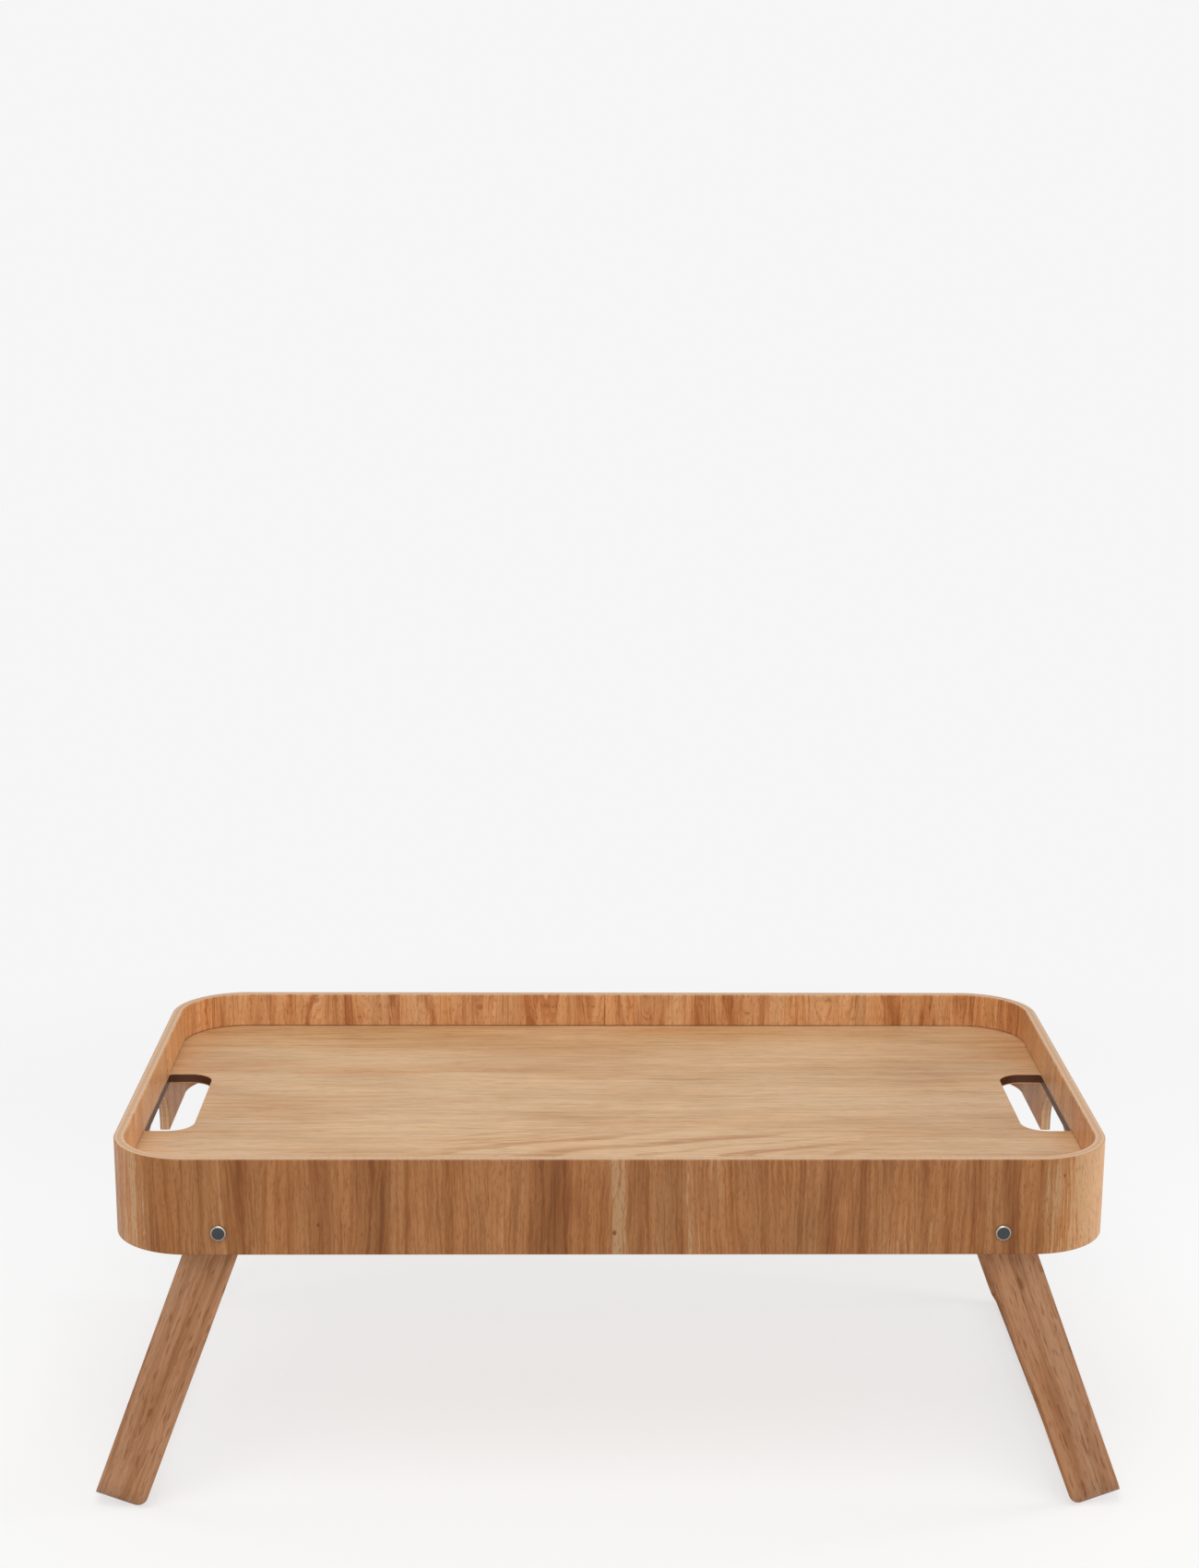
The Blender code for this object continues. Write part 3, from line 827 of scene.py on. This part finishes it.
def front_figure(tree, across, along, sway):
    """Darkness of the bands and knots on the rim's front, with painted light on its corners."""
    front = band_mask(tree, calc(tree, "ADD", across, sway), FRONT_BANDS_AND_PAINTED_CORNER_LIGHT)
    for x, z, radius in FRONT_KNOTS:
        away = calc(tree, "SUBTRACT", across, x * MM)
        up = calc(tree, "MULTIPLY", calc(tree, "SUBTRACT", along, z * MM), KNOT_WIDTH_SHARE)
        far = calc(tree, "MULTIPLY_ADD", away, away, calc(tree, "MULTIPLY", up, up))
        knot = spread(tree, calc(tree, "SQRT", far), radius * MM, radius * MM / KNOT_TO_HEART)
        front = calc(tree, "ADD", front, knot)
    return front


def back_figure(tree, across, along, sway):
    """Darkness of the bands on the rim's back, which lean this way and that, with painted shade in its
    inner corners.
    """
    from_joint = calc(tree, "SUBTRACT", HALF_ROUND, calc(tree, "ABSOLUTE", across))
    place = calc(tree, "MULTIPLY", calc(tree, "SIGN", across), from_joint)
    slant = noise(tree, combine(tree, calc(tree, "DIVIDE", across, SLANT_WIDTH), *SLANT_SEEDS))
    slant = calc(tree, "MULTIPLY_ADD", slant, BACK_SLANT, -BACK_SLANT / 2)
    lean = calc(tree, "MULTIPLY", calc(tree, "SUBTRACT", along, RIM_HEIGHT), slant)
    place = calc(tree, "ADD", calc(tree, "ADD", place, sway), lean)
    return band_mask(tree, place, BACK_BANDS_AND_PAINTED_CORNER_SHADE)


def rim_figure(tree, across, along, outer):
    """What the photograph shows on the rim's front outside and on its back inside, and the joint."""
    wave = grain_noise(tree, across, along, SWAY_WIDTH, SWAY_RUN, SWAY_SEED)
    sway = calc(tree, "MULTIPLY", centred(tree, wave), SWAY_REACH)
    round_rim = calc(tree, "ABSOLUTE", across)
    in_front = calc(tree, "LESS_THAN", round_rim, HALF_ROUND / 2)
    front = calc(tree, "MULTIPLY", front_figure(tree, across, along, sway), in_front)
    behind = calc(tree, "GREATER_THAN", round_rim, HALF_ROUND / 2)
    back = calc(tree, "MULTIPLY", back_figure(tree, across, along, sway), behind)
    figure = calc(tree, "MULTIPLY_ADD", outer, calc(tree, "SUBTRACT", front, back), back)
    joint = spread(tree, round_rim, HALF_ROUND - SEAM_SHADE, HALF_ROUND - SEAM_DARK)
    return calc(tree, "MULTIPLY_ADD", joint, SEAM_SHARE, figure)


def flame_figure(tree, across, along):
    """Darkness of the panel's flame figure, and how much it counts."""
    bend = grain_noise(tree, across, along, FLAME_BEND_WIDTH, FLAME_BEND_RUN, FLAME_BEND_SEED)
    off = calc(tree, "SUBTRACT", across, FLAME_ACROSS)
    off = calc(tree, "MULTIPLY_ADD", centred(tree, bend), FLAME_BEND, off)
    opened = calc(tree, "SQRT", calc(tree, "MULTIPLY_ADD", off, off, FLAME_TIP * FLAME_TIP))
    ring = calc(tree, "MULTIPLY_ADD", opened, -FLAME_SLOPE, along)
    ring_place = combine(tree, calc(tree, "DIVIDE", ring, FLAME_RING), FLAME_RING_SEED)
    rings = noise(tree, ring_place, FINE_NOISE)
    within = spread(tree, calc(tree, "ABSOLUTE", off), FLAME_REACH, FLAME_REACH / 2)
    started = spread(tree, along, FLAME_START, FLAME_START / 2)
    ended = spread(tree, along, FLAME_END, FLAME_END / 2)
    counts = calc(tree, "MULTIPLY", within, calc(tree, "MULTIPLY", started, ended))
    return spread(tree, rings, *FLAME_RING_SHARES), counts


def wandering_grain(tree, across, along, outer, layer, figure, shares):
    """The place across the grain, as the grain wanders, leans and waves from place to place."""
    slow = grain_noise(tree, across, along, figure["band"] * 2, figure["run"], layer)
    lean_place = combine(tree, calc(tree, "DIVIDE", across, figure["band"]), layer, LEAN_SEED)
    tilt = calc(tree, "MULTIPLY_ADD", outer, shares["lean"] - shares["inner_lean"], shares["inner_lean"])
    lean = calc(tree, "MULTIPLY", centred(tree, noise(tree, lean_place)), tilt)
    wandered = calc(tree, "MULTIPLY_ADD", centred(tree, slow), figure["wander"] * 2, across)
    wandered = calc(tree, "MULTIPLY_ADD", lean, along, wandered)
    wave = grain_noise(tree, across, along, WAVE_WIDTH, figure["wave_run"], layer)
    return calc(tree, "MULTIPLY_ADD", centred(tree, wave), figure["wave"], wandered)


def tint(tree, hue, mottle, share):
    """The veneer's changes of light and hue, as a colour to multiply by."""
    light = varied(tree, mottle, MOTTLE_SHARE)
    hue = calc(tree, "MULTIPLY", centred(tree, hue), share)
    warm = calc(tree, "MULTIPLY_ADD", hue, WARM_SHARE, 1.0)
    cool = calc(tree, "MULTIPLY_ADD", hue, COOL_SHARE, 1.0)
    return combine(tree, calc(tree, "MULTIPLY", light, warm), light, calc(tree, "MULTIPLY", light, cool))


def ply_edge(tree, across, along, depth, thickness, level):
    """A sawn plywood edge: its layers, roughened by the saw, and scaled by a level, which below one is
    painted shade.
    """
    sawn = grain_noise(tree, across, along, SAW_MARK, SAW_MARK, depth)
    shade = varied(tree, sawn, SAW_SHARE, level)
    layers = ply_layers(tree, depth, thickness)
    return mix(tree, 1.0, layers, combine(tree, shade, shade, shade), "MULTIPLY")


def make_oak(name, thickness, palettes, figure, shares, seed, extra=None, edge=None):
    """Satin-lacquered oak veneer on plywood, read from the piece's grain coordinates."""
    material, tree, shader = new_material(name)
    across, along, depth = read_grain(tree)
    outer = calc(tree, "LESS_THAN", depth, thickness / 2)
    layer = calc(tree, "MULTIPLY_ADD", outer, FACE_SEED, seed)
    wandered = wandering_grain(tree, across, along, outer, layer, figure, shares)

    def fibres(width, run, kind, limits):
        return spread(tree, grain_noise(tree, wandered, along, width, run, layer, kind), *limits)

    bands = fibres(figure["band"], figure["run"], COARSE_NOISE, BAND_SHARES)
    streaks = fibres(figure["streak"], figure["run"], COARSE_NOISE, STREAK_SHARES)
    lines = fibres(figure["line"], figure["line_run"], FINE_NOISE, LINE_SHARES)
    dashes = fibres(DASH_WIDTH, DASH_LENGTH, COARSE_NOISE, DASH_SHARES)
    pores = fibres(figure["pore"], figure["pore_run"], FINE_NOISE, PORE_SHARES)
    dark = calc(tree, "MULTIPLY", bands, shares["band"])
    dark = calc(tree, "MULTIPLY_ADD", streaks, shares["streak"], dark)
    if extra == "flame":
        rings, counts = flame_figure(tree, across, along)
        change = calc(tree, "SUBTRACT", calc(tree, "MULTIPLY", rings, FLAME_SHARE), dark)
        dark = calc(tree, "MULTIPLY_ADD", change, calc(tree, "MULTIPLY", counts, outer), dark)
    dark = calc(tree, "MULTIPLY_ADD", lines, shares["line"], dark)
    dark = calc(tree, "MULTIPLY_ADD", dashes, shares["dash"], dark)
    if extra == "bands":
        dark = calc(tree, "ADD", dark, rim_figure(tree, across, along, outer))

    tones = []
    for palette in palettes:
        steps = TONE_STEP_SHARES[-len(palette):]
        tones.append(ramp(tree, dark, list(zip(steps, palette))))
    # The inner face takes the second palette, which on the rim is painted paler as painted light
    colour = tones[0] if len(tones) == 1 else mix(tree, outer, tones[1], tones[0])
    colour = mix(tree, calc(tree, "MULTIPLY", pores, shares["pore"]), colour, palettes[0][-1])
    hue = grain_noise(tree, wandered, along, HUE_WIDTH, figure["run"], layer)
    mottle = grain_noise(tree, across, along, MOTTLE_WIDTH, MOTTLE_RUN, seed)
    colour = mix(tree, 1.0, colour, tint(tree, hue, mottle, shares["hue"]), "MULTIPLY")

    # Deeper than the face veneer, a sawn edge shows its own colours
    inside = calc(tree, "COMPARE", depth, thickness / 2, thickness / 2 - VENEER * FACE_SHARE)
    if edge is None:
        edge = ply_edge(tree, across, along, depth, thickness, shares["ply_level_with_painted_shade"])
    plug(tree, shader.inputs["Base Color"], mix(tree, inside, colour, edge))
    roughness = calc(tree, "MULTIPLY_ADD", pores, PORE_ROUGHNESS, LACQUER_ROUGHNESS)
    plug(tree, shader.inputs["Roughness"], roughness)
    shader.inputs["Specular IOR Level"].default_value = shares["sheen"]
    bump = add_node(tree, "ShaderNodeBump")
    bump.inputs["Strength"].default_value = BUMP_SHARE
    bump.inputs["Distance"].default_value = PORE_DEPTH
    plug(tree, bump.inputs["Height"], calc(tree, "SUBTRACT", 1.0, pores))
    plug(tree, shader.inputs["Normal"], bump.outputs[0])
    return material


# Metal and nylon, each with the size of its marks: colours in linear light, roughness, and how much
# rougher the marks make it. The post's flat face is painted dark, a painted reflection of dark
# surroundings, and its chamfer is bright.
HEAD_FACE_DARK_REFLECTION = (0.060, 0.064, 0.068)
HEAD_FACE_PALE_REFLECTION = (0.085, 0.088, 0.094)
HEAD_RING = (0.47, 0.42, 0.37)
HEAD_RING_BLUR = 0.1 * MM
HEAD_MARKS = 0.5 * MM
HEAD_ROUGHNESS = 0.22
NICKEL = (0.62, 0.64, 0.66)
NICKEL_MARKS = 0.6 * MM
NICKEL_ROUGHNESS = 0.2
ZINC = (0.42, 0.43, 0.45)
ZINC_MARKS = 0.5 * MM
ZINC_ROUGHNESS = 0.3
METAL_DARK_SHARE = 0.8
NYLON_DARK = (0.72, 0.70, 0.64)
NYLON_PALE = (0.80, 0.79, 0.74)
NYLON_MARKS = 0.8 * MM
NYLON_ROUGHNESS = 0.42
MARKS_LOW_SHARE = 0.3
MARKS_HIGH_SHARE = 0.7
MARKS_ROUGHNESS = 0.12
FINE_MARKS_ROUGHNESS = 0.1


def marked(tree, shader, size, dark, pale, roughness, rougher):
    """Roughen a shader with fine marks of a size, and give their colour."""
    coordinates = add_node(tree, "ShaderNodeTexCoord")
    scaled = add_node(tree, "ShaderNodeVectorMath", operation="SCALE")
    tree.links.new(coordinates.outputs["Object"], scaled.inputs[0])
    scaled.inputs["Scale"].default_value = 1 / size
    marks = noise(tree, scaled.outputs[0], MARKS_NOISE)
    plug(tree, shader.inputs["Roughness"], calc(tree, "MULTIPLY_ADD", marks, rougher, roughness))
    return ramp(tree, marks, [(MARKS_LOW_SHARE, dark), (MARKS_HIGH_SHARE, pale)])


def make_metal(name, colour, roughness, size):
    """Plated steel with fine marks."""
    material, tree, shader = new_material(name)
    shader.inputs["Metallic"].default_value = 1.0
    darker = tuple(channel * METAL_DARK_SHARE for channel in colour)
    colour = marked(tree, shader, size, darker, colour, roughness, MARKS_ROUGHNESS)
    plug(tree, shader.inputs["Base Color"], colour)
    return material


def make_head_metal():
    """Nickel-plated post whose flat face is painted dark, as a painted reflection, inside its bright
    chamfer.
    """
    material, tree, shader = new_material("nickel_head")
    shader.inputs["Metallic"].default_value = 1.0
    # The dark face colours are a painted reflection of dark surroundings
    face = marked(
        tree, shader, HEAD_MARKS, HEAD_FACE_DARK_REFLECTION, HEAD_FACE_PALE_REFLECTION, HEAD_ROUGHNESS, FINE_MARKS_ROUGHNESS
    )
    radius = read_grain(tree)[0]
    edge = HEAD_RADIUS - HEAD_CHAMFER
    ring = spread(tree, radius, edge - HEAD_RING_BLUR, edge + HEAD_RING_BLUR)
    plug(tree, shader.inputs["Base Color"], mix(tree, ring, face, HEAD_RING))
    return material


def make_nylon():
    """Natural nylon."""
    material, tree, shader = new_material("natural_nylon")
    colour = marked(
        tree, shader, NYLON_MARKS, NYLON_DARK, NYLON_PALE, NYLON_ROUGHNESS, FINE_MARKS_ROUGHNESS
    )
    plug(tree, shader.inputs["Base Color"], colour)
    return material


def dress_nodes(materials):
    """Give the CAD nodes that stay their finish."""
    for name, node in frame["nodes"].items():
        if node.hide_render:
            continue
        for word, material in materials.items():
            if name.endswith(word):
                node.data.materials.clear()
                node.data.materials.append(material)


# The backdrop and the light from all round, in linear light, and the floor: its own colour, how
# bright the lamps make white, its colour to other rays, its radius, where it fades and its sides
WHITE = (1.0, 1.0, 1.0, 1.0)
BACKDROP = 0.9216
SKY_STRENGTH = 0.42
FLOOR_DIFFUSE = 0.3
FLOOR_LIGHT = 0.91
FLOOR_BOUNCE = 0.7
FLOOR_RADIUS = 2.6
FLOOR_FADE_START = 0.5
FLOOR_FADE_END = 1.15
FLOOR_SIDES = 96


def make_world():
    """Even light all round; what the camera and reflections see is the pale backdrop."""
    world = bpy.data.worlds.new("studio")
    bpy.context.scene.world = world
    world.use_nodes = True
    tree = world.node_tree
    background = tree.nodes["Background"]
    background.inputs["Color"].default_value = WHITE
    path = add_node(tree, "ShaderNodeLightPath")
    seen = calc(tree, "ADD", path.outputs["Is Camera Ray"], path.outputs["Is Glossy Ray"])
    seen = calc(tree, "ADD", seen, path.outputs["Is Transmission Ray"], clamp=True)
    strength = calc(tree, "MULTIPLY_ADD", seen, BACKDROP - SKY_STRENGTH, SKY_STRENGTH)
    plug(tree, background.inputs["Strength"], strength)


def make_floor():
    """A round floor that fades into the backdrop, keeps the tray's shadow and is clear from below."""
    work = bmesh.new()
    bmesh.ops.create_circle(work, cap_ends=True, segments=FLOOR_SIDES, radius=FLOOR_RADIUS)
    floor = new_piece("floor", work)
    material, tree, shader = new_material("pale_floor")
    shader.inputs["Roughness"].default_value = 1.0
    shader.inputs["Specular IOR Level"].default_value = 0.0
    camera = add_node(tree, "ShaderNodeLightPath").outputs["Is Camera Ray"]
    body = calc(tree, "MULTIPLY_ADD", camera, FLOOR_DIFFUSE - FLOOR_BOUNCE, FLOOR_BOUNCE)
    plug(tree, shader.inputs["Base Color"], combine(tree, body, body, body))
    shader.inputs["Emission Color"].default_value = WHITE
    glow = BACKDROP - FLOOR_DIFFUSE * FLOOR_LIGHT
    plug(tree, shader.inputs["Emission Strength"], calc(tree, "MULTIPLY", camera, glow))
    coordinates = add_node(tree, "ShaderNodeTexCoord")
    length = add_node(tree, "ShaderNodeVectorMath", operation="LENGTH")
    tree.links.new(coordinates.outputs["Object"], length.inputs[0])
    solid = spread(tree, length.outputs["Value"], FLOOR_FADE_END, FLOOR_FADE_START)
    below = add_node(tree, "ShaderNodeNewGeometry").outputs["Backfacing"]
    plug(tree, shader.inputs["Alpha"], calc(tree, "MULTIPLY", solid, calc(tree, "SUBTRACT", 1.0, below)))
    floor.data.materials.append(material)


# Square lamps aimed at the tray: name, place and size in metres, power in watts, and whether glossy
# surfaces mirror it. Those at the sides would glare on the panel.
LAMPS = (
    ("key", (-0.2, -1.4, 2.3), 1.6, 31, True),
    ("front", (0.2, -2.6, 0.5), 1.0, 9, True),
    ("left_side", (-1.2, 0.05, 0.34), 0.55, 4.3, False),
    ("right_side", (1.7, 0.05, 0.34), 0.55, 22, False),
)


def make_lamps():
    """Soft lamps above, in front and at both sides."""
    for name, place, size, power, mirrored in LAMPS:
        data = bpy.data.lights.new(name, "AREA")
        data.shape = "SQUARE"
        data.size = size
        data.energy = power
        lamp = bpy.data.objects.new(name, data)
        lamp.location = place
        lamp.visible_camera = False
        lamp.visible_glossy = mirrored
        aim = Vector((0, 0, RIM_BOTTOM)) - Vector(place)
        lamp.rotation_mode = "QUATERNION"
        lamp.rotation_quaternion = aim.to_track_quat("-Z", "Y")
        bpy.context.scene.collection.objects.link(lamp)


# The camera, solved from the tray's edges in the photograph: pixels of its 1300 by 1700 frame
PHOTO_WIDTH_PX = 1300
PHOTO_HEIGHT_PX = 1700
FOCAL_PX = 2955
CENTRE_X_PX = 676.2
CENTRE_Y_PX = 1033
SENSOR = 36
CAMERA_X = -27.07 * MM
CAMERA_Y = -1689 * MM
CAMERA_OVER_RIM = 548 * MM
CAMERA_PITCH = math.radians(15.55)
CAMERA_YAW = math.radians(1.242)
CAMERA_ROLL = math.radians(0.4221)


def make_camera():
    """The photograph's own view."""
    data = bpy.data.cameras.new("camera")
    data.sensor_width = SENSOR
    data.lens = FOCAL_PX / PHOTO_HEIGHT_PX * SENSOR
    data.shift_x = (PHOTO_WIDTH_PX / 2 - CENTRE_X_PX) / PHOTO_HEIGHT_PX
    data.shift_y = (CENTRE_Y_PX - PHOTO_HEIGHT_PX / 2) / PHOTO_HEIGHT_PX
    camera = bpy.data.objects.new("camera", data)
    place = Matrix.Translation((CAMERA_X, CAMERA_Y, RIM_TOP + CAMERA_OVER_RIM))
    turn = Matrix.Rotation(-CAMERA_YAW, 4, "Z") @ Matrix.Rotation(QUARTER_TURN - CAMERA_PITCH, 4, "X")
    camera.matrix_world = place @ turn @ Matrix.Rotation(CAMERA_ROLL, 4, "Z")
    bpy.context.scene.collection.objects.link(camera)
    bpy.context.scene.camera = camera


def main():
    """Build the scene."""
    bpy.context.scene.view_settings.view_transform = "Standard"
    make_camera()
    make_world()
    make_floor()
    make_lamps()
    rim_palettes = (OUTER_OAK, INNER_OAK_PAINTED_PALER)
    rim_oak = make_oak(
        "rim_veneer", RIM_THICKNESS, rim_palettes, RIM_FIGURE, RIM_SHARES, RIM_SEED, extra="bands"
    )
    make_rim(rim_oak)
    panel_oak = make_oak(
        "panel_veneer",
        PANEL_HIGH.z - PANEL_LOW.z,
        (PANEL_OAK,),
        PANEL_FIGURE,
        PANEL_SHARES,
        PANEL_SEED,
        extra="flame",
        edge=DARK_PANEL_EDGE,
    )
    make_panel(panel_oak)
    make_frames(make_oak("leg_veneer", LEG_THICKNESS, (LEG_OAK,), LEG_FIGURE, LEG_SHARES, LEG_SEED))
    make_posts(make_head_metal())
    finishes = {
        "inner_washer": make_metal("nickel", NICKEL, NICKEL_ROUGHNESS, NICKEL_MARKS),
        "pivot_screw": make_metal("zinc", ZINC, ZINC_ROUGHNESS, ZINC_MARKS),
        "spacer_washer": make_nylon(),
    }
    dress_nodes(finishes)


main()
